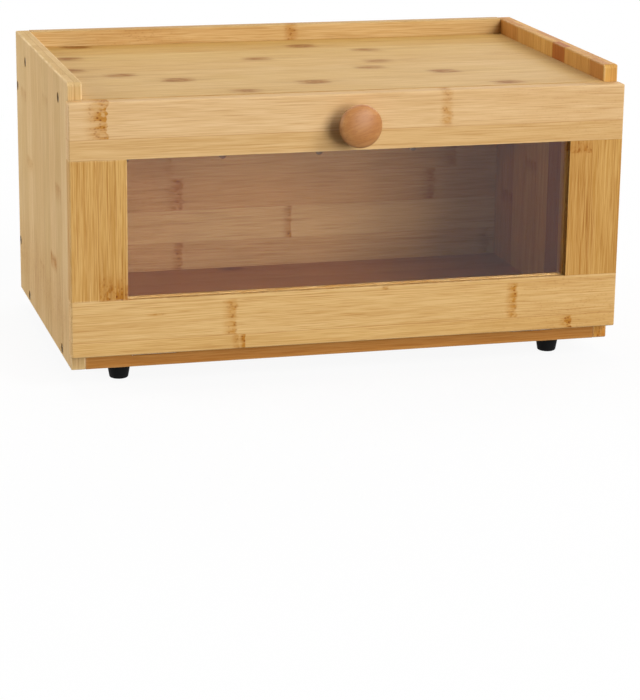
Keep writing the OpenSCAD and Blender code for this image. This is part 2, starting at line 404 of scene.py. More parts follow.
@node_group("bamboo strips", {
    "Across": 0.0, "Deep": 0.0, "Strip Start": 0.0, "Strip Width": STRIP_W,
    "Layer Start": 0.0, "Layer": 5.3 * MM, "Seed": 0.0,
})
def strip_group(given):
    """Bamboo board is glued up from strips, in two layers. Gives each strip's own tone
    and shift, and the thin glue lines."""
    strips = minus(given["Across"], given["Strip Start"])
    strips = maths("DIVIDE", strips, given["Strip Width"])
    layers = minus(given["Deep"], given["Layer Start"])
    layers = maths("DIVIDE", layers, given["Layer"])
    index = maths("FLOOR", strips)
    layer = maths("FLOOR", layers)
    cell = joined(index, layer, given["Seed"])
    chance = fed("TexWhiteNoise", {"Vector": cell}).outputs["Color"]
    parts = fed("SeparateColor", {0: chance}).outputs
    seams = []
    for count, size in ((strips, given["Strip Width"]), (layers, given["Layer"])):
        nearest = minus(count, maths("ROUND", count))
        distance = times(maths("ABSOLUTE", nearest), size)
        seams.append(ease(distance, 0.05 * MM, 0.3 * MM, 1.0, 0.0))
    return {
        "Index": index,
        "Layer": layer,
        "Tone": parts[0],
        "Warmth": parts[1],
        "Shift": vector_maths("MULTIPLY", chance, (19.0, 23.0, 29.0)),
        "Seam": maths("MAXIMUM", *seams),
    }


@node_group("bamboo fibres", {
    "Along": 0.0, "Across": 0.0, "Deep": 0.0, "Shift": (0.0, 0.0, 0.0),
})
def fibre_group(given):
    """The fibres of bamboo, which waver a little: fine lines, short dark dashes, long
    streaks and soft clouds of tone."""
    along, across, deep, shift = (given[i] for i in range(4))
    waver = noise(stretched(along, across, deep, 9.0, 25.0, shift), 1.0, 1.0)
    across = plus(across, times_plus(waver, 0.8 * MM, -0.4 * MM))
    # Waves per metre along and across the fibres, detail, and the noise between which
    # the effect goes from none to full
    layers = {
        "Fine": (34.0, 1900.0, 2.0, 0.34, 0.66),
        "Dashes": (26.0, 1100.0, 3.0, 0.52, 0.7),
        "Streak": (6.0, 480.0, 2.0, 0.46, 0.72),
        "Cloud": (7.0, 60.0, 2.0, 0.32, 0.68),
    }
    levels = {}
    for label, (along_scale, across_scale, detail, low, high) in layers.items():
        point = stretched(along, across, deep, along_scale, across_scale, shift)
        levels[label] = ease(noise(point, 1.0, detail, 0.6), low, high)
    return levels


@node_group("bamboo node mark and shade band", {
    "Along": 0.0, "Across": 0.0, "Place": 0.0, "Low Edge": 0.0, "High Edge": STRIP_W,
    "Before": 10 * MM, "After": 1 * MM, "Soft Edge": 0.3 * MM, "Strength": 1.0,
    "Marks So Far": 0.0,
})
def mark_group(given):
    """A band between a low and a high edge across the grain, that fades before and after its
    place. It draws a node of the bamboo stem across one strip, and on some boards a wide band
    of painted shade. Adds to the marks so far."""
    waver = noise(joined(given["Across"], given["Place"], 0.0), 230.0, 1.0)
    waver = times_plus(waver, 0.55, -0.275)
    offset = minus(given["Along"], given["Place"])
    offset = times_plus(waver, given["Before"], offset)
    rise = ease(offset, times(given["Before"], -1.0), 0.0)
    fall = ease(offset, 0.0, given["After"], 1.0, 0.0)
    up = minus(given["Across"], given["Low Edge"])
    down = minus(given["High Edge"], given["Across"])
    inside = ease(maths("MINIMUM", up, down), 0.0, given["Soft Edge"])
    mark = times(times(rise, fall), inside)
    mark = times(mark, given["Strength"])
    return {"Marks": maths("MAXIMUM", mark, given["Marks So Far"])}


@node_group("bamboo flecks", {"Along": 0.0, "Across": 0.0, "Deep": 0.0, "Size": 1.9 * MM})
def fleck_group(given):
    """What fills a node mark: threads along the grain, small dark flecks and paler ones."""
    along, across, deep, size = (given[i] for i in range(4))
    threads = stretched(along, across, deep, 55.0, 420.0, (5.0, 7.0, 3.0))
    threads = noise(threads, 1.0, 2.0)
    scale = maths("DIVIDE", 1.0, size)
    point = joined(times(along, 0.7), across, deep)
    cells = fed("TexVoronoi", {"Vector": point, "Scale": scale})
    round_flecks = ease(cells.outputs["Distance"], 0.12, 0.46, 1.0, 0.0)
    patches = noise(point, times(scale, 0.6), 2.0)
    return {
        "Threads": ease(threads, 0.34, 0.6, 0.4, 1.0),
        "Dark": times(round_flecks, ease(patches, 0.38, 0.52)),
        "Pale": ease(patches, 0.5, 0.36),
    }


@node_group("rubbed and highlit edges", {
    "Point": (0.0, 0.0, 0.0), "Low": (0.0, 0.0, 0.0), "High": (1.0, 1.0, 1.0),
    "Reach": 1.5 * MM,
})
def edge_group(given):
    """How near a point lies to an edge of its box, and the rubbed places there."""
    from_low = vector_maths("SUBTRACT", given["Point"], given["Low"])
    from_high = vector_maths("SUBTRACT", given["High"], given["Point"])
    nearest = vector_maths("MINIMUM", from_low, from_high)
    x, y, z = fed("SeparateXYZ", {0: nearest}).outputs
    larger = maths("MAXIMUM", x, y)
    smaller = maths("MINIMUM", x, y)
    middle = maths("MAXIMUM", smaller, maths("MINIMUM", larger, z))
    edge = ease(middle, 0.0, given["Reach"], 1.0, 0.0)
    patches = ease(noise(given["Point"], 90.0, 3.0, 0.6), 0.42, 0.66)
    return {"Edge": edge, "Rubbed": times(edge, patches)}


@node_group("sprayed lacquer", {"Point": (0.0, 0.0, 0.0), "Roughness": 0.4, "Spread": 0.1})
def lacquer_group(given):
    """The skin of a sprayed finish: fine orange peel, and patches rubbed duller."""
    patches = noise(given["Point"], 28.0, 3.0, 0.6)
    swing = times(times_plus(patches, 2.0, -1.0), given["Spread"])
    return {
        "Roughness": plus(given["Roughness"], swing),
        "Height": noise(given["Point"], 900.0, 2.0, 0.5),
    }


@node_group("hairline scratches", {"Point": (0.0, 0.0, 0.0), "Scale": 1.0})
def scratch_group(given):
    """Fine hairline scratches in two directions, and dust that settles between them."""
    lines = []
    for turn, seed in ((0.5, 3.0), (-0.9, 11.0)):
        inputs = {
            "Vector": given["Point"], "Location": (seed, seed, seed),
            "Rotation": (turn, turn * 0.7, turn), "Scale": (40.0, 2600.0, 2600.0),
        }
        point = fed("Mapping", inputs, vector_type="POINT").outputs[0]
        lines.append(ease(noise(point, given["Scale"], 1.0), 0.66, 0.74))
    dust = noise(given["Point"], times(given["Scale"], 60.0), 4.0, 0.7)
    return {
        "Scratches": maths("MAXIMUM", *lines),
        "Dust": ease(dust, 0.45, 0.75),
    }


# ---- Finishes ----

def new_finish(name):
    """A new material with its shader and the point on the object's surface."""
    finish, tree = blank(bpy.data.materials, name)
    shader = place(tree, "BsdfPrincipled")
    fed("OutputMaterial", {"Surface": shader.outputs[0]})
    return finish, shader, place(tree, "TexCoord").outputs["Object"]


def relief(shader, height, distance, strength=1.0):
    """A bump of that height on a shader."""
    inputs = {"Height": height, "Distance": distance, "Strength": strength}
    feed(shader, {"Normal": fed("Bump", inputs).outputs[0]})


def strip_tones(index, tones):
    """The tone chosen for each strip, from the lowest: 0 is the dark colour, 1 the pale."""
    count = len(tones)
    share = maths("DIVIDE", plus(index, 0.5), float(count))
    node = fed("ValToRGB", {0: share})
    ramp = node.color_ramp
    ramp.interpolation = "CONSTANT"
    while len(ramp.elements) < count:
        ramp.elements.new(1.0)
    for i, level in enumerate(tones):
        ramp.elements[i].position = i / count
        ramp.elements[i].color = (level, level, level, 1.0)
    return node.outputs[0]


def bamboo(name, node, grain, face, pale, dark, tones, marks, strip_start, seed,
           figure=1.0, shown_layer=0, stain_and_shade_tone=tone(221, 188, 116), fleck_share=0.9,
           wear_and_highlight=0.35):
    """Lacquered bamboo board. The grain axis runs along the strips, and the face axis goes
    through the board. Places along Z count from the underside of the cabinet. A mark is
    (place, low edge, high edge, before, after, soft edge, strength); most are node marks of
    the bamboo, and some are bands of painted shade, darkened with the same stain tone. The
    chosen tones belong to the shown layer, figure is how strongly the grain shows, and the
    last argument is how pale the edges are painted: rubbed wear in patches, and a painted
    highlight all along every edge."""
    finish, shader, point = new_finish(name)
    low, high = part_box(node)
    axes = dict(zip("xyz", fed("SeparateXYZ", {0: point}).outputs))
    axes["z"] = minus(axes["z"], under_z)
    side = next(axis for axis in "xyz" if axis not in (grain, face))
    run = {"Along": axes[grain], "Across": axes[side]}
    deep = axes[face]
    through = "xyz".index(face)
    layer = (high[through] - low[through]) / 2 + 0.3 * MM
    layer_start = low[through] - 0.3 * MM - (under_z if face == "z" else 0)

    strips = use(
        strip_group, Across=run["Across"], Deep=deep, Strip_Start=strip_start * MM,
        Layer_Start=layer_start, Layer=layer, Seed=float(seed),
    )
    fibres = use(fibre_group, **run, Deep=deep, Shift=strips["Shift"])
    level = times_plus(strips["Tone"], 0.6, 0.4)
    if tones:
        chosen = strip_tones(strips["Index"], tones)
        shown = maths("COMPARE", strips["Layer"], float(shown_layer), 0.5)
        level = times_plus(minus(chosen, level), shown, level)
    colour = mixed(level, dark, pale)
    warm = times(strips["Warmth"], 0.25)
    colour = mixed(warm, colour, tone(238, 214, 176), "MULTIPLY")
    for label, share, shade in (
        ("Cloud", 0.25, tone(222, 200, 150)),
        ("Streak", 0.24, tone(212, 182, 116)),
        ("Fine", 0.5, tone(214, 190, 128)),
        ("Dashes", 0.4, tone(198, 160, 92)),
    ):
        amount = times(fibres[label], share * figure)
        colour = mixed(amount, colour, shade, "MULTIPLY")

    marks_and_shade = 0.0
    for spot, low_edge, high_edge, before, after, soft, strength in marks:
        marks_and_shade = use(
            mark_group, **run, Place=spot * MM, Low_Edge=low_edge * MM,
            High_Edge=high_edge * MM, Before=before * MM, After=after * MM,
            Soft_Edge=soft * MM, Strength=strength, Marks_So_Far=marks_and_shade,
        )["Marks"]
    flecks = use(fleck_group, **run, Deep=deep)
    marks_and_shade = times(marks_and_shade, flecks["Threads"])
    # Node marks and the bands of painted shade both darken towards this stain tone.
    colour = mixed(maths("MINIMUM", marks_and_shade, 1.0), colour, stain_and_shade_tone, "MULTIPLY")
    dark_flecks = times(flecks["Dark"], marks_and_shade)
    shade = times(dark_flecks, fleck_share)
    colour = mixed(shade, colour, tone(178, 130, 76), "MULTIPLY")
    pale_flecks = times(times(flecks["Pale"], marks_and_shade), fleck_share * 0.5)
    colour = mixed(pale_flecks, colour, dark)

    seam = times(strips["Seam"], 0.45)
    colour = mixed(seam, colour, tone(196, 152, 104), "MULTIPLY")
    edges = use(edge_group, Point=point, Low=tuple(low), High=tuple(high))
    # Pale edges: rubbed wear in patches, plus a painted highlight all along every edge, where
    # the rounding would catch light.
    rubbed_and_highlit = times_plus(edges["Edge"], 0.6, edges["Rubbed"])
    colour = mixed(times(rubbed_and_highlit, wear_and_highlight), colour, tone(236, 206, 156))

    lacquer = use(lacquer_group, Point=point, Roughness=0.56, Spread=0.08)
    rough = times_plus(fibres["Fine"], 0.06, lacquer["Roughness"])
    rough = times_plus(edges["Rubbed"], 0.1, rough)
    height = lacquer["Height"]
    for level, share in (
        (fibres["Fine"], -0.6), (fibres["Dashes"], -0.4), (strips["Seam"], -0.8),
        (dark_flecks, -0.7),
    ):
        height = times_plus(level, share, height)
    relief(shader, height, 0.025 * MM, 0.5)
    feed(shader, {
        "Base Color": colour, "Roughness": rough, "Specular IOR Level": 0.14,
    })
    return finish


def knob_wood():
    """Turned reddish hardwood under lacquer, with its grain across the knob."""
    finish, shader, point = new_finish("knob wood")
    inputs = {"Vector": point, "Rotation": (0.0, math.radians(18), 0.0)}
    turned = fed("Mapping", inputs).outputs[0]
    x, y, z = fed("SeparateXYZ", {0: turned}).outputs
    # Waves per metre along and across the grain, shift, detail and roughness of the
    # noise, and the noise where the effect begins. It is full at 0.7
    levels = []
    for along_scale, across_scale, shift, detail, roughness, start in (
        (22.0, 190.0, (3.0, 5.0, 7.0), 3.0, 0.6, 0.3),
        (40.0, 700.0, (8.0, 1.0, 4.0), 2.0, 0.5, 0.4),
        (160.0, 1900.0, (1.0, 2.0, 3.0), 2.0, 0.5, 0.54),
    ):
        grain = stretched(x, y, z, along_scale, across_scale, shift)
        levels.append(ease(noise(grain, 1.0, detail, roughness), start, 0.7))
    bands, lines, pores = levels
    colour = mixed(bands, tone(192, 136, 78), tone(173, 113, 56))
    colour = mixed(times(lines, 0.25), colour, tone(150, 88, 48))
    colour = mixed(times(pores, 0.3), colour, tone(120, 64, 32))
    lacquer = use(lacquer_group, Point=point, Roughness=0.5, Spread=0.06)
    relief(shader, times_plus(pores, -0.8, lacquer["Height"]), 0.05 * MM, 0.5)
    feed(shader, {"Base Color": colour, "Roughness": lacquer["Roughness"]})
    return finish


def plated_metal(name, bright, dull, roughness):
    """Plated steel with hairline scratches and duller patches."""
    finish, shader, point = new_finish(name)
    scratches = use(scratch_group, Point=point, Scale=1.0)
    colour = mixed(times(scratches["Dust"], 0.7), bright, dull)
    lacquer = use(lacquer_group, Point=point, Roughness=roughness, Spread=0.06)
    rough = times_plus(scratches["Dust"], 0.12, lacquer["Roughness"])
    rough = times_plus(scratches["Scratches"], 0.15, rough)
    relief(shader, times(scratches["Scratches"], -1.0), 0.01 * MM, 0.6)
    feed(shader, {"Base Color": colour, "Roughness": rough, "Metallic": 1.0})
    return finish


def foot_rubber():
    """Matt black rubber with a moulded grain and a little dust."""
    finish, shader, point = new_finish("foot rubber")
    grain = noise(point, 1500.0, 3.0, 0.6)
    scratches = use(scratch_group, Point=point, Scale=2.0)
    dust = times(scratches["Dust"], 0.25)
    relief(shader, grain, 0.06 * MM, 0.6)
    feed(shader, {
        "Base Color": mixed(dust, tone(4, 4, 4), tone(20, 19, 18)),
        "Roughness": times_plus(grain, 0.2, 0.6),
        "Specular IOR Level": 0.12,
    })
    return finish


def clear_acrylic():
    """Clear acrylic sheet. Light rays go straight through, so the room behind is lit."""
    finish, shader, point = new_finish("clear acrylic")
    smudges = ease(noise(point, 14.0, 3.0, 0.5), 0.4, 0.7)
    relief(shader, smudges, 0.01 * MM, 0.2)
    feed(shader, {
        "Base Color": mixed(smudges, tone(246, 248, 250), tone(240, 243, 247)),
        "Roughness": times_plus(smudges, 0.012, 0.004),
        "Metallic": 0.0,
        "IOR": 1.49,
        "Transmission Weight": 1.0,
    })
    tree = finish.node_tree
    shadow_ray = place(tree, "LightPath").outputs["Is Shadow Ray"]
    through = place(tree, "BsdfTransparent", {0: tone(243, 245, 247)})
    both = fed("MixShader", {0: shadow_ray, 1: shader.outputs[0], 2: through.outputs[0]})
    output = next(node for node in tree.nodes if node.type == "OUTPUT_MATERIAL")
    feed(output, {"Surface": both.outputs[0]})
    return finish


# ---- Node marks, in millimetres ----

def strip_edges(start, strip):
    """The low and high edge of a strip, counted from where the first strip starts."""
    width = STRIP_W / MM
    return start + strip * width, start + (strip + 1) * width


def hard_marks(start, spots):
    """Marks with crisp edges, from (place, strip, before, after, strength)."""
    return [
        (spot, *strip_edges(start, strip), before, after, 0.4, strength)
        for spot, strip, before, after, strength in spots
    ]


def soft_marks(start, spots):
    """Oval marks that fade all round, from (place, strip, strength), with a faint tail
    along the grain to both sides."""
    marks = []
    for spot, strip, strength in spots:
        low_edge, high_edge = strip_edges(start, strip)
        marks.append((spot, low_edge + 1, high_edge - 1, 17, 17, 11, strength * 2.0))
        marks.append((spot, low_edge + 5, high_edge - 5, 46, 46, 8, strength * 0.4))
    return marks


# ---- Screws ----

def screw_profile(size, gap=0.0):
    """A countersunk screw's outline, from the middle of its head's face to its tip."""
    shank_r, head_r, length = size[0] / 2, size[1] / 2, size[2]
    neck = shank_r - head_r - HEAD_RIM
    return [
        (0, 0), (head_r - 0.12 * MM + gap, 0), (head_r + gap, -0.1 * MM),
        (head_r + gap, -HEAD_RIM), (shank_r + gap, neck),
        (shank_r + gap, -length + 2 * shank_r), (0, -length - gap),
    ]


def seat_profile(size):
    """The seat of a countersunk screw: its room, with a small chamfer at the mouth."""
    shank_r, head_r, length = size[0] / 2, size[1] / 2, size[2]
    mouth_r = head_r + 0.25 * MM
    neck = shank_r - head_r - HEAD_RIM
    return [
        (0, 1 * MM), (mouth_r, 1 * MM), (mouth_r, BOARD_SCREW_SUNK),
        (head_r + SEAT_GAP, BOARD_SCREW_SUNK - HEAD_RIM), (head_r + SEAT_GAP, -HEAD_RIM),
        (shank_r + SEAT_GAP, neck), (shank_r + SEAT_GAP, -length),
        (0, -length - SEAT_GAP),
    ]


def screw_mesh(size):
    """One screw with its head's face at the origin, facing +Z. The two slots of its cross
    recess get narrower with depth."""
    bm = bmesh.new()
    add_turned(bm, screw_profile(size), steps=40)
    screw = new_piece("screw_pattern", bm)
    head_d = size[1]
    long_half, wide_half = head_d * 0.3, head_d * 0.06
    for x, y in ((long_half, wide_half), (wide_half, long_half)):
        bm = bmesh.new()
        for vert in add_box(bm, (-x, -y, -head_d * 0.22), (x, y, head_d * 0.2)):
            if vert.co.z < 0:
                vert.co.x *= 0.45
                vert.co.y *= 0.45
        combine(screw, bm, "DIFFERENCE")
    mesh = screw.data
    bpy.data.objects.remove(screw)
    return mesh


def screw_set(name, size, places, body, material):
    """All the screws of one node, at places given as matrices. Each is turned further
    than the one before."""
    pattern = screw_mesh(size)
    bm = bmesh.new()
    for i, spot in enumerate(places):
        known = len(bm.verts)
        bm.from_mesh(pattern)
        bm.verts.ensure_lookup_table()
        turn = Matrix.Rotation(math.radians(37 * i + 12), 4, "Z")
        bmesh.ops.transform(bm, matrix=spot @ turn, verts=bm.verts[known:])
    return fit_piece(new_piece(name, bm), name, body, material)


def side_screw_places(side):
    """The six screws of a side panel: two in the top board, two in the bottom board and
    two in the back panel. They face outwards; side is -1 on the left."""
    spots = []
    for low, high in ((tray_low, tray_high), (floor_low, floor_high)):
        middle_z = (low.z + high.z) / 2
        spots.append((front_y + SCREW_FROM_FRONT, middle_z))
        spots.append((back_y - SCREW_FROM_BACK, middle_z))
    spots += [(back_y - board_t / 2, panel_low.z + up) for up in BACK_SCREWS_UP]
    x = side * (half_w - BOARD_SCREW_SUNK)
    return [facing((x, y, z), (side, 0, 0)) for y, z in spots]


def foot_screw_places():
    middles = (middle_of(name) for name in FEET)
    return [facing((at.x, at.y, FOOT_WELL_H), (0, 0, -1)) for at in middles]


def hinge_screw_places(on_door):
    """Two screws for each leaf: up through the floor leaves or out of the door leaves."""
    places = []
    for hinge in (-hinge_x, hinge_x):
        for across in (-HINGE_SCREW_ACROSS, HINGE_SCREW_ACROSS):
            if on_door:
                spot = (hinge + across, door_in_y + LEAF_T, axis_z + HINGE_SCREW_OUT)
                places.append(facing(spot, (0, 1, 0)))
            else:
                spot = (hinge + across, axis_y + HINGE_SCREW_OUT, axis_z - LEAF_FACE_DOWN)
                places.append(facing(spot, (0, 0, 1)))
    return places


knob_screw_place = facing((0, door_in_y - KNOB_SCREW_SUNK, knob_z), (0, 1, 0))


def add_seats(bm, size, places):
    for spot in places:
        add_turned(bm, seat_profile(size), spot, 40)


def add_slug_room(bm, side, low, high, start_y, end_y):
    """The blind hole that a magnet or a striker of that box stands in."""
    x = side * (low.x + high.x) / 2
    z = (low.z + high.z) / 2
    add_rod(bm, (high.z - low.z) / 2 + SEAT_GAP, (x, start_y, z), (x, end_y, z))


# ---- Cabinet ----

def side_panel(side, material):
    """A side panel, with a large radius on its two upper corners."""
    def radius(at):
        return 3.0 * MM if at.z > 0 and at.y != 0 and at.x == 0 else 0.9 * MM

    cutter = bmesh.new()
    add_seats(cutter, BOARD_SCREW, side_screw_places(side))
    room_end = magnet_high.y + SEAT_GAP
    add_slug_room(cutter, side, magnet_low, magnet_high, front_y - 1 * MM, room_end)
    name = "left_side_panel" if side < 0 else "right_side_panel"
    return board(name, "cabinet", "bamboo_side", material, radius, cutter)


def back_panel(material):
    """The back panel, with a row of four air holes and the seats of the side screws."""
    low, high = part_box("back_panel")

    def radius(at):
        return 0.9 * MM if at.z > 0 and at.x == 0 else 0.4 * MM

    depth = high.y - low.y + 2 * MM
    lip_r = HOLE_R + HOLE_LIP
    profile = [
        (0, 0), (lip_r, 0), (lip_r, 1 * MM), (HOLE_R, 1 * MM + HOLE_LIP),
        (HOLE_R, depth - 1 * MM - HOLE_LIP), (lip_r, depth - 1 * MM), (lip_r, depth),
        (0, depth),
    ]
    cutter = bmesh.new()
    for i in range(4):
        spot = ((i - 1.5) * HOLE_STEP, low.y - 1 * MM, low.z + HOLES_UP)
        add_turned(cutter, profile, facing(spot, (0, 1, 0)), 40)
    for side in (-1, 1):
        add_seats(cutter, BOARD_SCREW, side_screw_places(side)[4:])
    return board("back_panel", "cabinet", "bamboo_inside", material, radius, cutter)


def top_board(material):
    cutter = bmesh.new()
    for side in (-1, 1):
        add_seats(cutter, BOARD_SCREW, side_screw_places(side)[:2])
    return board(
        "top_board", "cabinet", "bamboo_top", material, lambda at: 0.2 * MM, cutter
    )


def bottom_board(material):
    """The bottom board, with a recess for each hinge and seats for three kinds of screw."""
    def radius(at):
        return 0.6 * MM if at.y < 0 and at.x == 0 else 0.2 * MM

    cutter = bmesh.new()
    recess_l = hinge_l + 1.5 * MM
    recess_y = axis_y + 14 * MM
    for hinge in (-hinge_x, hinge_x):
        start = (hinge - recess_l / 2, front_y - 1 * MM, axis_z - BARREL_R)
        add_box(cutter, start, (hinge + recess_l / 2, recess_y, floor_high.z + 5 * MM))
    add_seats(cutter, HINGE_SCREW, hinge_screw_places(False))
    add_seats(cutter, FOOT_SCREW, foot_screw_places())
    for side in (-1, 1):
        add_seats(cutter, BOARD_SCREW, side_screw_places(side)[2:4])
    return board("bottom_board", "cabinet", "bamboo_inside", material, radius, cutter)


def foot(name, material):
    """A turned rubber foot: tapered, with a rounded lower edge and a screw well."""
    low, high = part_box(name)
    middle = middle_of(name)
    top_r = (high.x - low.x) / 2
    end_r = top_r - 2 * MM
    edge_r, hole_r, seat_r, well_r = 1.2 * MM, 1.55 * MM, 2.85 * MM, 3.5 * MM
    profile = [(hole_r, high.z), (top_r - 0.3 * MM, high.z), (top_r, high.z - 0.3 * MM)]
    for turn in range(0, 91, 15):
        across = end_r - edge_r + edge_r * math.cos(math.radians(turn))
        profile.append((across, edge_r - edge_r * math.sin(math.radians(turn))))
    profile += [
        (well_r + 0.4 * MM, 0), (well_r, 0.4 * MM), (well_r, FOOT_WELL_H),
        (seat_r, FOOT_WELL_H), (seat_r, FOOT_WELL_H + 0.2 * MM),
        (hole_r, FOOT_WELL_H + 1.5 * MM), profile[0],
    ]
    bm = bmesh.new()
    add_turned(bm, profile, Matrix.Translation((middle.x, middle.y, 0)), 64)
    bmesh.ops.remove_doubles(bm, verts=bm.verts, dist=0.001 * MM)
    return fit_piece(new_piece(name, bm), name, "cabinet", material)


def round_slug(name, body, material):
    """A magnet or a striker: a short plated cylinder with a broken edge."""
    low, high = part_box(name)
    middle = middle_of(name)
    radius, length = (high.z - low.z) / 2, high.y - low.y
    edge = 0.25 * MM
    profile = [
        (0, 0), (radius - edge, 0), (radius - edge * 0.3, edge * 0.3), (radius, edge),
        (radius, length - edge), (radius - edge * 0.3, length - edge * 0.3),
        (radius - edge, length), (0, length),
    ]
    bm = bmesh.new()
    add_turned(bm, profile, facing((middle.x, low.y, middle.z), (0, 1, 0)), 48)
    return fit_piece(new_piece(name, bm), name, body, material)


# ---- Hinges ----

def rolled_outline(first_out):
    """The outline of a leaf that is rolled round its pin, as (out, up) points from the
    pin's axis. The leaf runs out along the bottom of the roll."""
    outer, inner = [], []
    steps = 24
    for i in range(steps + 1):
        turn = math.radians(-90 - 300 * i / steps)
        outer.append((BARREL_R * math.cos(turn), BARREL_R * math.sin(turn)))
        inner.append((PIN_ROOM_R * math.cos(turn), PIN_ROOM_R * math.sin(turn)))
    outline = [(first_out, -BARREL_R)] + outer + inner[::-1]
    return outline + [(0.3 * MM, LEAF_T - BARREL_R), (first_out, LEAF_T - BARREL_R)]


def add_prism(bm, outline, start_x, end_x, spot):
    """Draws out an outline of (out, up) points between two places along X."""
    first, last = (
        [bm.verts.new(spot @ Vector((x, out, up))) for out, up in outline]
        for x in (start_x, end_x)
    )
    for i in range(len(outline)):
        after = (i + 1) % len(outline)
        bm.faces.new([first[i], first[after], last[after], last[i]])
    bm.faces.new(first)
    bm.faces.new(last[::-1])


def leaf(side_name, on_door, material):
    """One hinge leaf: a flat plate with countersunk holes, and the knuckles rolled from
    it. The door leaf has the middle knuckle and the floor leaf the outer two."""
    side = -1 if side_name == "left" else 1
    spot = Matrix.Translation((side * hinge_x, axis_y, axis_z))
    outer_from = KNUCKLE_L / 2 + KNUCKLE_GAP
    spans = [(-hinge_l / 2, -outer_from), (outer_from, hinge_l / 2)]
    if on_door:
        spot = spot @ SWAP_Y_AND_Z
        spans = [(-KNUCKLE_L / 2, KNUCKLE_L / 2)]
    plate_from = BARREL_R + KNUCKLE_GAP
    name = side_name + ("_hinge_door_leaf" if on_door else "_hinge_floor_leaf")
    bm = bmesh.new()
    plate_low = (-hinge_l / 2, plate_from, -BARREL_R)
    plate_high = (hinge_l / 2, LEAF_REACH, LEAF_T - BARREL_R)
    corners = add_box(bm, plate_low, plate_high)
    bmesh.ops.transform(bm, matrix=spot, verts=corners)
    piece = new_piece(name, bm)
    for start_x, end_x in spans:
        bm = bmesh.new()
        add_prism(bm, rolled_outline(plate_from + 1 * MM), start_x, end_x, spot)
        combine(piece, bm, "UNION")
    bevel = piece.modifiers.new("broken edges", "BEVEL")
    bevel.width = 0.12 * MM
    bevel.segments = 2
    bevel.limit_method = "ANGLE"
    bevel.angle_limit = math.radians(50)
    apply_modifiers(piece)
    cutter = bmesh.new()
    add_seats(cutter, HINGE_SCREW, hinge_screw_places(on_door))
    combine(piece, cutter, "DIFFERENCE")
    return fit_piece(piece, name, "door" if on_door else "cabinet", material)


def hinge_pin(name, material):
    """The pin of one hinge, with its two ends broken."""
    low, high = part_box(name)
    outline = eased_rod((high.z - low.z) / 2, high.x - low.x, 0.2 * MM)
    start = (low.x, (low.y + high.y) / 2, (low.z + high.z) / 2)
    bm = bmesh.new()
    add_turned(bm, outline, facing(start, (1, 0, 0)), 32)
    return fit_piece(new_piece(name, bm), name, "cabinet", material)


# ---- Door ----

def pane_groove():
    """The groove all round the window that the pane sits in."""
    bm = bmesh.new()
    room = Vector((1 * MM, SEAT_GAP, 1 * MM))
    add_box(bm, pane_low - room, pane_high + room)
    return bm


def dowel_places():
    """The middle of each dowel: two on every joint of a rail and a stile."""
    places = []
    for side in (-1, 1):
        for across in (-DOWEL_ACROSS, DOWEL_ACROSS):
            for joint_z in (window_z0, window_z1):
                places.append(Vector((side * stile_x + across, door_mid_y, joint_z)))
    return places


def dowel_rooms():
    bm = bmesh.new()
    reach = Vector((0, 0, DOWEL_L / 2 + SEAT_GAP))
    for middle in dowel_places():
        add_rod(bm, DOWEL_R + SEAT_GAP, middle - reach, middle + reach)
    return bm


def door_dowels(material):
    """Fluted dowels with chamfered ends."""
    bm = bmesh.new()
    for middle in dowel_places():
        before = set(bm.verts)
        start = middle - Vector((0, 0, DOWEL_L / 2))
        outline = eased_rod(DOWEL_R, DOWEL_L, 0.7 * MM)
        add_turned(bm, outline, Matrix.Translation(start), 48)
        for vert in set(bm.verts) - before:
            out = vert.co.xy - middle.xy
            flute = math.cos(12 * math.atan2(out.y, out.x))
            vert.co.xy = middle.xy + out * (1 - 0.03 * (1 + flute))
    piece = new_piece("door_dowels", bm)
    return fit_piece(piece, "door_dowels", "door", material)


def rail(name, material):
    """A rail of the door. Its outer edges are rounded and its joint edge only eased."""
    outer = 1 if name == "door_top_rail" else -1

    def radius(at):
        if at.z == -outer:
            return EASED
        return DOOR_EDGE_R if at.y <= 0 else 0.3 * MM

    seats = bmesh.new()
    if outer > 0:
        add_seats(seats, KNOB_SCREW, [knob_screw_place])
    else:
        add_seats(seats, HINGE_SCREW, hinge_screw_places(True))
    cutters = (pane_groove(), dowel_rooms(), seats)
    return board(name, "door", "bamboo_rail", material, radius, *cutters)


def stile(name, material):
    """A stile of the door, with rounded outer edges and the room of its striker."""
    outer = -1 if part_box(name)[0].x < 0 else 1

    def radius(at):
        if at.x != outer or at.z != 0:
            return EASED
        return DOOR_EDGE_R if at.y < 0 else 0.5 * MM

    rooms = dowel_rooms()
    start_y, end_y = striker_low.y - SEAT_GAP, door_in_y + 1 * MM
    add_slug_room(rooms, outer, striker_low, striker_high, start_y, end_y)
    return board(name, "door", "bamboo_stile", material, radius, pane_groove(), rooms)


def window_pane(material):
    pane = rounded_box("window_pane", pane_low, pane_high, lambda at: 0.2 * MM, 2)
    return fit_piece(pane, "window_pane", "door", material)


def knob(material):
    """The turned knob: a straight neck, a bell that opens to the widest ring, and a crown."""
    radius = (knob_high.x - knob_low.x) / 2
    length = door_out_y - knob_low.y
    neck_r, ring_out = 8.1 * MM, 16 * MM
    bell_from = 0.38
    profile = [(0, 0), (neck_r + 0.15 * MM, 0), (neck_r, 0.4 * MM)]
    steps = 28
    for i in range(1, steps + 1):
        up = ring_out * i / steps
        share = max(0, up / ring_out - bell_from) / (1 - bell_from)
        across = neck_r + (radius - neck_r) * (1 - math.cos(math.pi * share)) / 2
        profile.append((across, max(up, 0.5 * MM)))
    crown_h = length - ring_out
    for turn in range(6, 90, 6):
        angle = math.radians(turn)
        profile.append((radius * math.cos(angle), ring_out + crown_h * math.sin(angle)))
    profile.append((0, length))
    bm = bmesh.new()
    add_turned(bm, profile, facing((0, door_out_y, knob_z), (0, -1, 0)), 96)
    cutter = bmesh.new()
    add_turned(cutter, screw_profile(KNOB_SCREW, SEAT_GAP), knob_screw_place, 40)
    piece = combine(new_piece("knob", bm), cutter, "DIFFERENCE")
    return fit_piece(piece, "knob", "door", material)
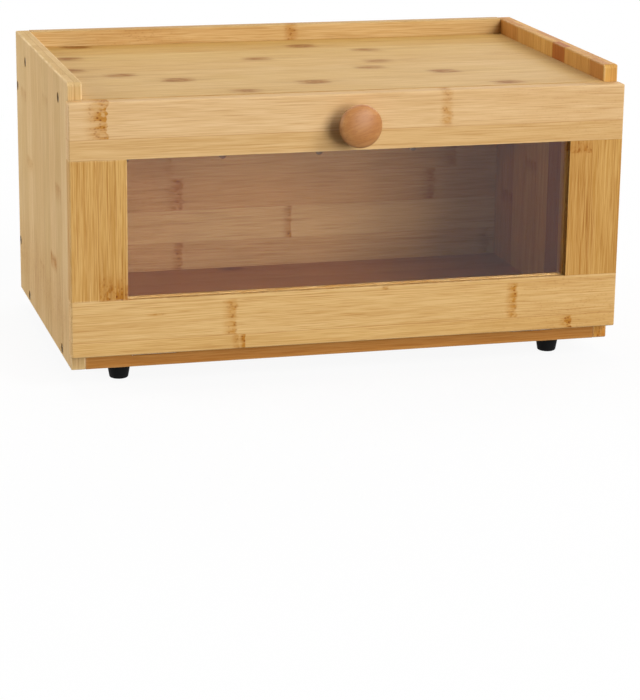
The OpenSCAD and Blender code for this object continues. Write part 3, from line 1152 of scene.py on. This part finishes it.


# ---- Tones and marks of the boards, with painted light and shade among them ----

front_pale, front_dark = tone(224, 190, 143), tone(216, 180, 126)
low_pale, low_dark = tone(226, 192, 138), tone(217, 179, 115)
tray_pale, tray_dark = tone(218, 187, 134), tone(211, 174, 104)
side_pale, side_dark = tone(221, 191, 140), tone(202, 170, 112)
stile_pale, stile_dark = tone(221, 183, 119), tone(205, 161, 92)
right_pale, right_dark = tone(219, 173, 96), tone(174, 104, 38)
back_pale, back_dark = tone(211, 179, 126), tone(181, 130, 75)
floor_pale, floor_dark = tone(230, 184, 106), tone(187, 119, 54)
dowel_pale, dowel_dark = tone(200, 144, 82), tone(182, 122, 62)

TOP_RAIL_START = 134.3
top_rail_tones = [0.1, 0.95]
top_rail_marks = hard_marks(TOP_RAIL_START, [(-167.5, 1, 17, 0.8, 1.3), (66, 1, 7, 5, 0.8)])
# Painted shade: the rail darkens softly towards its right end, over its whole height.
top_rail_marks.append((190, 100, 200, 170, 60, 12, 0.1))

BOTTOM_RAIL_START = -3.5
bottom_rail_tones = [0.35, 0.65, 0.5]
bottom_rail_marks = hard_marks(BOTTOM_RAIL_START, [
    (-82, 1, 10, 2.5, 0.85), (-80, 0, 5, 2, 0.6), (-75, 0, 4.5, 0.6, 1.3),
    (118.5, 1, 9, 3.0, 1.0), (160.5, 0, 11, 2.0, 1.3), (24, 2, 4, 3, 0.6),
])
bottom_rail_marks.append((-135, 37.5, 40, 10, 9, 1.2, 1.0))
sill_z = (window_z0 - under_z) / MM
# Painted shade: a band along the sill in front of the pane, darkened with the stain tone
# where shade falls in the window.
bottom_rail_marks.append((0, sill_z - 0.3, sill_z + 10, 400, 400, 0.2, 0.9))
# Painted shade: the rail darkens softly towards its right end, over its whole height.
bottom_rail_marks.append((190, -20, 80, 170, 60, 12, 0.2))

LEFT_STILE_START = -200
left_stile_tones = [0.7, 0.4]
left_stile_marks = hard_marks(LEFT_STILE_START, [(50, 1, 0.6, 24, 1.2), (43, 0, 4, 4, 0.4)])

RIGHT_STILE_START = 146.5
right_stile_tones = [0.3, 0.1]
right_stile_marks = hard_marks(RIGHT_STILE_START, [(137.5, 0, 0.8, 12, 0.9)])
jamb_x = stile_low.x / MM
# Painted shade: the right stile's jamb face beside the window, darkened with the stain tone
# for the shade it lies in.
right_stile_marks.append((90, jamb_x - 10, jamb_x + 0.3, 200, 200, 0.2, 0.6))

TRAY_START = -98.6
tray_tones = [0.8, 0.9, 0.75, 0.85, 0.7, 0.6, 0.45, 0.3, 0.1]
# The first mark is painted shade: a dark line all along the top board's front edge, where it
# meets the door. The rest are node marks.
tray_marks = [(0, -99, -94.9, 300, 300, 1.5, 0.4)] + soft_marks(TRAY_START, [
    (-69, 0, 0.6), (116, 0, 0.7), (-16, 1, 0.9), (-106, 2, 1.0), (86, 2, 0.9),
    (-141, 3, 0.7), (39, 3, 0.6), (53, 4, 0.6), (-172, 4, 0.9), (-31, 5, 0.6),
    (58, 6, 0.6), (-165, 6, 0.7), (15, 7, 1.0), (-151, 8, 1.0),
])

BACK_START = 5.75
back_tones = [0.25, 0.35, 0.2, 0.15, 0.05, 0.1, 0.4, 1.0]
back_marks = hard_marks(BACK_START, [
    (-78, 3, 13, 1.0, 0.6), (-70, 2, 18, 1.5, 1.3), (16, 1, 8, 1.0, 1.2),
    (-70, 0, 11, 1.0, 1.2), (130, 2, 12, 3, 0.9), (148, 3, 16, 2, 0.8),
    (176, 0, 10, 2, 0.6), (30, 4, 11, 2, 0.5), (15, 7, 7, 7, 0.9),
    (-130, 5, 10, 1.0, 0.7), (75, 6, 10, 1.0, 0.7),
])
back_marks.append((-105, -20, 210, 60, 70, 12, 0.3))

FLOOR_START = -97.2
# The front strip, whose edge shows under the door, is painted much paler than the rest:
# painted light standing in for light bounced up into the shade under the door.
floor_tones = [0.7, 0.15, 0.05, 0.15, 0.0, 0.1, 0.0, 0.05, 0.0]
floor_marks = soft_marks(FLOOR_START, [
    (-32, 8, 0.8), (12, 5, 0.7), (16, 3, 0.8), (22, 2, 0.9), (109, 4, 0.9),
    (146, 1, 0.9), (-105, 1, 1.0), (29, 0, 0.8), (-152, 4, 0.6),
])
floor_marks += hard_marks(FLOOR_START, [(-31, 0, 7, 1.0, 2.2)])

LEFT_PANEL_START = -117.75
left_panel_tones = [1.0, 1.0, 0.5, 0.85, 0.45, 0.7, 0.6, 0.9, 0.5, 0.7]
left_panel_marks = hard_marks(LEFT_PANEL_START, [
    (61, 3, 11, 6, 1.2), (45, 5, 10, 3, 0.5), (117, 2, 14, 3, 0.6), (111, 7, 12, 3, 0.5),
    (157, 8, 12, 3, 0.5), (30, 9, 12, 2, 0.5), (170, 4, 9, 3, 0.3),
])
# A wide soft band that darkens the lower part of the panel over all its strips.
left_panel_marks.append((30, -110, 150, 45, 45, 20, 0.35))

RIGHT_PANEL_START = -120.1
right_panel_tones = [1.0, 0.35, 0.7, 0.75, 0.0, 0.95, 0.85, 0.7, 0.45, 0.45]
right_panel_marks = hard_marks(RIGHT_PANEL_START, [
    (148, 5, 14, 2, 0.8), (65, 8, 12, 2, 0.8), (55, 2, 12, 2, 0.7), (27, 3, 10, 2, 0.8),
    (100, 6, 12, 2, 0.6), (130, 1, 9, 2, 0.5),
])
right_panel_marks.append((2, -99, -95.4, 30, 16, 0.3, 0.9))


# ---- Everything in its place ----

def build_cabinet():
    side_panel(-1, bamboo(
        "left panel bamboo", "left_side_panel", "z", "x", side_pale, side_dark,
        left_panel_tones, left_panel_marks, LEFT_PANEL_START, 3, 0.8, wear_and_highlight=0.9,
    ))
    side_panel(1, bamboo(
        "right panel bamboo", "right_side_panel", "z", "x", right_pale, right_dark,
        right_panel_tones, right_panel_marks, RIGHT_PANEL_START, 5,
    ))
    back_panel(bamboo(
        "back panel bamboo", "back_panel", "x", "y", back_pale, back_dark,
        back_tones, back_marks, BACK_START, 8, wear_and_highlight=0.0,
    ))
    top_board(bamboo(
        "tray bamboo", "top_board", "x", "z", tray_pale, tray_dark,
        tray_tones, tray_marks, TRAY_START, 12, 0.9, 1, tone(188, 157, 106), 0.3, 0.0,
    ))
    bottom_board(bamboo(
        "floor bamboo", "bottom_board", "x", "z", floor_pale, floor_dark,
        floor_tones, floor_marks, FLOOR_START, 17, 1.0, 1, tone(206, 176, 140), 0.2, 0.1,
    ))
    rubber = foot_rubber()
    for name in FEET:
        foot(name, rubber)


def build_door():
    rail("door_top_rail", bamboo(
        "top rail bamboo", "door_top_rail", "x", "y", front_pale, front_dark,
        top_rail_tones, top_rail_marks, TOP_RAIL_START, 21, 0.75, wear_and_highlight=0.2,
    ))
    rail("door_bottom_rail", bamboo(
        "bottom rail bamboo", "door_bottom_rail", "x", "y", low_pale, low_dark,
        bottom_rail_tones, bottom_rail_marks, BOTTOM_RAIL_START, 24, 0.95, wear_and_highlight=0.2,
    ))
    stile("door_left_stile", bamboo(
        "left stile bamboo", "door_left_stile", "z", "y", stile_pale, stile_dark,
        left_stile_tones, left_stile_marks, LEFT_STILE_START, 31, 1.4, wear_and_highlight=0.2,
    ))
    stile("door_right_stile", bamboo(
        "right stile bamboo", "door_right_stile", "z", "y", stile_pale, stile_dark,
        right_stile_tones, right_stile_marks, RIGHT_STILE_START, 34, 1.4, wear_and_highlight=0.0,
    ))
    door_dowels(bamboo(
        "dowel bamboo", "door_dowels", "z", "y", dowel_pale, dowel_dark, [], [], 0, 40,
    ))
    window_pane(clear_acrylic())
    knob(knob_wood())


def build_metal():
    nickel = plated_metal("bright nickel", tone(231, 229, 224), tone(190, 186, 178), 0.2)
    bronze = plated_metal("bronzed steel", tone(92, 74, 50), tone(54, 42, 28), 0.42)
    zinc = plated_metal("zinc plate", tone(206, 204, 200), tone(160, 157, 150), 0.32)
    magnet = plated_metal("magnet plate", tone(176, 172, 166), tone(120, 114, 106), 0.36)
    for side, name in ((-1, "left"), (1, "right")):
        places = side_screw_places(side)
        screw_set(name + "_side_screws", BOARD_SCREW, places, "cabinet", bronze)
        round_slug(name + "_magnet", "cabinet", magnet)
        round_slug(name + "_striker", "door", magnet)
        leaf(name, False, nickel)
        leaf(name, True, nickel)
        hinge_pin(name + "_hinge_pin", nickel)
    screw_set("foot_screws", FOOT_SCREW, foot_screw_places(), "cabinet", zinc)
    floor_places, door_places = hinge_screw_places(False), hinge_screw_places(True)
    screw_set("hinge_floor_screws", HINGE_SCREW, floor_places, "cabinet", zinc)
    screw_set("hinge_door_screws", HINGE_SCREW, door_places, "door", zinc)
    screw_set("knob_screw", KNOB_SCREW, [knob_screw_place], "door", bronze)


build_cabinet()
build_door()
build_metal()


# ---- Camera, light and floor ----

def photo_camera():
    """The camera of the closed view: far off, a little to the left and above."""
    spot = CAMERA_SPOT + Vector((0, 0, under_z))
    azimuth, elevation, roll = (math.radians(turn) for turn in CAMERA_TURNS)
    ahead = Vector((
        math.sin(azimuth) * math.cos(elevation),
        math.cos(azimuth) * math.cos(elevation),
        -math.sin(elevation),
    ))
    level = ahead.cross(Z_AXIS).normalized()
    up = level.cross(ahead)
    right = level * math.cos(roll) + up * math.sin(roll)
    up = right.cross(ahead)
    turn = Matrix((right, up, -ahead)).transposed().to_4x4()
    data = bpy.data.cameras.new("photo camera")
    data.lens = 128
    data.sensor_width = 36
    camera = bpy.data.objects.new("photo camera", data)
    camera.matrix_world = Matrix.Translation(spot) @ turn
    bpy.context.scene.collection.objects.link(camera)
    bpy.context.scene.camera = camera


def soft_box(name, towards, distance, size, level):
    """A square white light in a direction from the box. Its level is the share of full
    light that it gives to a surface that faces it."""
    data = bpy.data.lights.new(name, "AREA")
    data.shape = "SQUARE"
    data.size = size
    data.energy = level * 4 * math.pi * distance ** 2
    lamp = bpy.data.objects.new(name, data)
    direction = Vector(towards).normalized()
    lamp.matrix_world = facing(LAMP_AIM + direction * distance, direction)
    bpy.context.scene.collection.objects.link(lamp)


def seen_share(tree):
    """1 for rays from the camera, and for those that mirrors and clear sheet send on."""
    path = place(tree, "LightPath").outputs
    seen = maths("MAXIMUM", path["Is Camera Ray"], path["Is Glossy Ray"])
    return maths("MAXIMUM", seen, path["Is Transmission Ray"])


def studio_world():
    """White for the camera, and nearly dark for the light that falls on things."""
    world, tree = blank(bpy.data.worlds, "studio")
    strength = ease(seen_share(tree), 0.0, 1.0, 0.05, 1.0)
    background = fed("Background", {"Color": (1, 1, 1, 1), "Strength": strength})
    fed("OutputWorld", {"Surface": background.outputs[0]})
    bpy.context.scene.world = world


def studio_floor():
    """A paper floor. What the camera sees of it is mostly light of its own, and all of it
    further away, so that the open floor is white and the shadow of the box is soft."""
    bm = bmesh.new()
    bmesh.ops.create_grid(bm, x_segments=1, y_segments=1, size=6)
    floor = new_piece("studio_floor", bm)
    finish, tree = blank(bpy.data.materials, "studio paper")
    seen = seen_share(tree)
    point = place(tree, "TexCoord").outputs["Object"]
    length = fed("VectorMath", {0: point}, operation="LENGTH")
    distance = length.outputs["Value"]
    level = ease(seen, 0.0, 1.0, 0.28, 0.95)
    paper = fed("BsdfDiffuse", {"Color": joined(level, level, level)})
    glow = place(tree, "Emission", {"Color": (1, 1, 1, 1), "Strength": 1.0})
    share = times(seen, ease(distance, 0.25, 0.9, 0.92, 1.0))
    both = fed("MixShader", {0: share, 1: paper.outputs[0], 2: glow.outputs[0]})
    fed("OutputMaterial", {"Surface": both.outputs[0]})
    floor.data.materials.append(finish)


def card(name, corners, colour, *seen_in):
    """A card that lights nothing. Only the named kinds of ray see it."""
    bm = bmesh.new()
    bm.faces.new([bm.verts.new(corner) for corner in corners])
    piece = new_piece(name, bm)
    finish, tree = blank(bpy.data.materials, name)
    plain = place(tree, "Emission", {"Color": colour, "Strength": 1.0})
    fed("OutputMaterial", {"Surface": plain.outputs[0]})
    piece.data.materials.append(finish)
    for ray in ("camera", "diffuse", "glossy", "transmission", "shadow"):
        setattr(piece, "visible_" + ray, ray in seen_in)


def cards():
    """A grey card on the floor in front, so that the window mirrors grey and not the white
    floor, and a dark card behind the air holes, seen only through the window: painted shade,
    so that the holes look dark from there."""
    floor_corners = [(-1.2, -1.8, MM), (1.6, -1.8, MM), (1.6, -0.16, MM), (-1.2, -0.16, MM)]
    card("grey card", floor_corners, tone(150, 152, 156), "glossy")
    y, z0, z1 = back_y + 4 * MM, 0.08, 0.15
    wall_corners = [(-0.17, y, z0), (0.17, y, z0), (0.17, y, z1), (-0.17, y, z1)]
    card("painted shade card", wall_corners, tone(52, 48, 48), "transmission")


photo_camera()
studio_world()
studio_floor()
cards()
for lamp in (
    ("key", (0.27, -0.94, 0.208), 6.0, 2.4, 0.51),
    ("high right", (0.5, -0.65, 0.57), 6.0, 2.4, 0.4),
    ("left fill", (-1.0, 0.3, 0.25), 2.0, 1.3, 0.58),
    ("overhead", (0.0, 0.3, 1.0), 2.0, 1.3, 0.26),
    ("back fill", (0.7, 0.7, 0.25), 4.0, 2.4, 0.42),
):
    soft_box(*lamp)

scene = bpy.context.scene
scene.view_settings.view_transform = "Standard"
